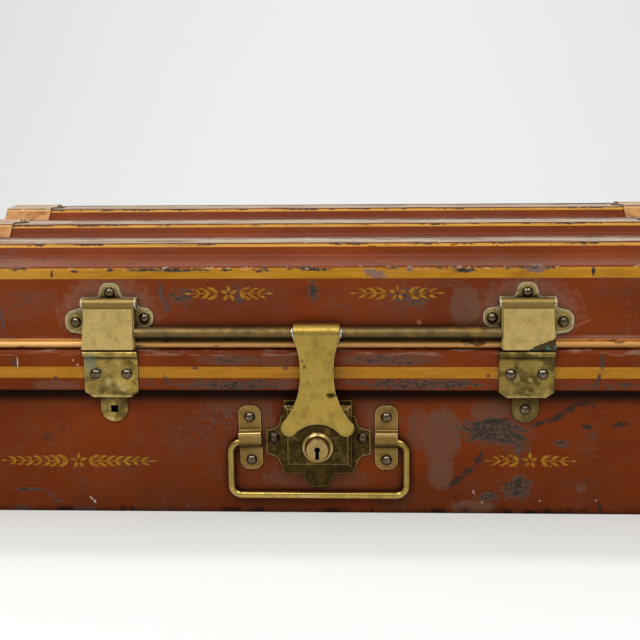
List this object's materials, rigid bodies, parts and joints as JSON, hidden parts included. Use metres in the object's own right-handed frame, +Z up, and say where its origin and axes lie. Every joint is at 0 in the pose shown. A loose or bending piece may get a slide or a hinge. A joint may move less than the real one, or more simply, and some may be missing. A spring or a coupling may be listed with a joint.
{
  "type": "ship trunk",
  "caption": "Low sheet-metal travelling trunk with ribbed hinged lid, bar-linked clasps, a hasp over a box lock, and wire bail handles.",
  "frame": {"origin": "centre of the underside", "axes": "+X to the right seen from the front, along the length; -Y to the front, where the lock is; +Z up"},
  "size_m": [0.6848, 0.4606, 0.2067],
  "materials": {
    "case_paint": "worn satin brown-red enamel",
    "inside_paint": "dull brown-red enamel",
    "cap_paint": "worn ochre-brown enamel",
    "plate_brass": "aged satin",
    "lock_brass": "tarnished",
    "boss_brass": "aged satin",
    "bar_brass": "tarnished",
    "bail_brass": "worn bright on the rubs",
    "rivet_steel": "dark bronzed",
    "bare_steel": "dull",
    "hinge_steel": "painted over in the case colour"
  },
  "bodies": {
    "base": {"bail_clip_left": "plate_brass", "bail_clip_right": "plate_brass", "bail_clip_rivets": "rivet_steel", "base_back_wall": "case_paint", "base_floor": "inside_paint", "base_front_wall": "case_paint", "base_left_wall": "case_paint", "base_right_wall": "case_paint", "end_clip_rivets": "rivet_steel", "end_clips_left": "plate_brass", "end_clips_right": "plate_brass", "hinge_base_leaf_left": "hinge_steel", "hinge_base_leaf_right": "hinge_steel", "hinge_base_rivets": "rivet_steel", "hinge_pins": "bare_steel", "keyhole_boss": "boss_brass", "lock_backplate": "lock_brass", "lock_case": "lock_brass", "lock_rivets": "rivet_steel", "lock_spring": "bare_steel", "strike_left": "plate_brass", "strike_right": "plate_brass", "strike_rivets": "rivet_steel"},
    "lid": {"clasp_pins": "bare_steel", "clasp_plate_left": "plate_brass", "clasp_plate_right": "plate_brass", "clasp_rivets": "rivet_steel", "hinge_lid_leaf_left": "hinge_steel", "hinge_lid_leaf_right": "hinge_steel", "hinge_lid_rivets": "rivet_steel", "lid_back_rim": "case_paint", "lid_front_rim": "case_paint", "lid_left_rim": "case_paint", "lid_rib_front": "case_paint", "lid_rib_middle": "case_paint", "lid_rib_rear": "case_paint", "lid_right_rim": "case_paint", "lid_top_panel": "case_paint", "rib_cap_front_left": "cap_paint", "rib_cap_front_right": "cap_paint", "rib_cap_middle_left": "cap_paint", "rib_cap_middle_right": "cap_paint", "rib_cap_rear_left": "cap_paint", "rib_cap_rear_right": "cap_paint", "rib_cap_rivets": "rivet_steel"},
    "fastening": {"clasp_lever_left": "plate_brass", "clasp_lever_right": "plate_brass", "fastening_bar": "bar_brass", "hasp": "plate_brass", "hasp_staple": "plate_brass"},
    "front_bail": {"front_bail": "bail_brass"},
    "left_end_bail": {"left_end_bail": "bail_brass"},
    "right_end_bail": {"right_end_bail": "bail_brass"},
    "lock_bolt": {"lock_bolt": "bare_steel"}
  },
  "joints": [
    {"name": "lid_hinge", "type": "hinge", "parent": "base", "child": "lid", "pos_m": [0, 0.2235, 0.131], "axis": [-1, 0, 0], "range_deg": [0, 100]},
    {"name": "fastening_turn", "type": "hinge", "parent": "lid", "child": "fastening", "pos_m": [0, -0.2192, 0.1662], "axis": [-1, 0, 0], "range_deg": [0, 100]},
    {"name": "front_bail_swing", "type": "hinge", "parent": "base", "child": "front_bail", "pos_m": [0, -0.21655, 0.0577], "axis": [-1, 0, 0], "range_deg": [0, 120]},
    {"name": "left_bail_swing", "type": "hinge", "parent": "base", "child": "left_end_bail", "pos_m": [-0.33805, 0, 0.0577], "axis": [0, 1, 0], "range_deg": [0, 120]},
    {"name": "right_bail_swing", "type": "hinge", "parent": "base", "child": "right_end_bail", "pos_m": [0.33805, 0, 0.0577], "axis": [0, -1, 0], "range_deg": [0, 120]},
    {"name": "lock_bolt_slide", "type": "slide", "parent": "base", "child": "lock_bolt", "axis": [1, 0, 0], "range_m": [0, 0.0056]}
  ]
}
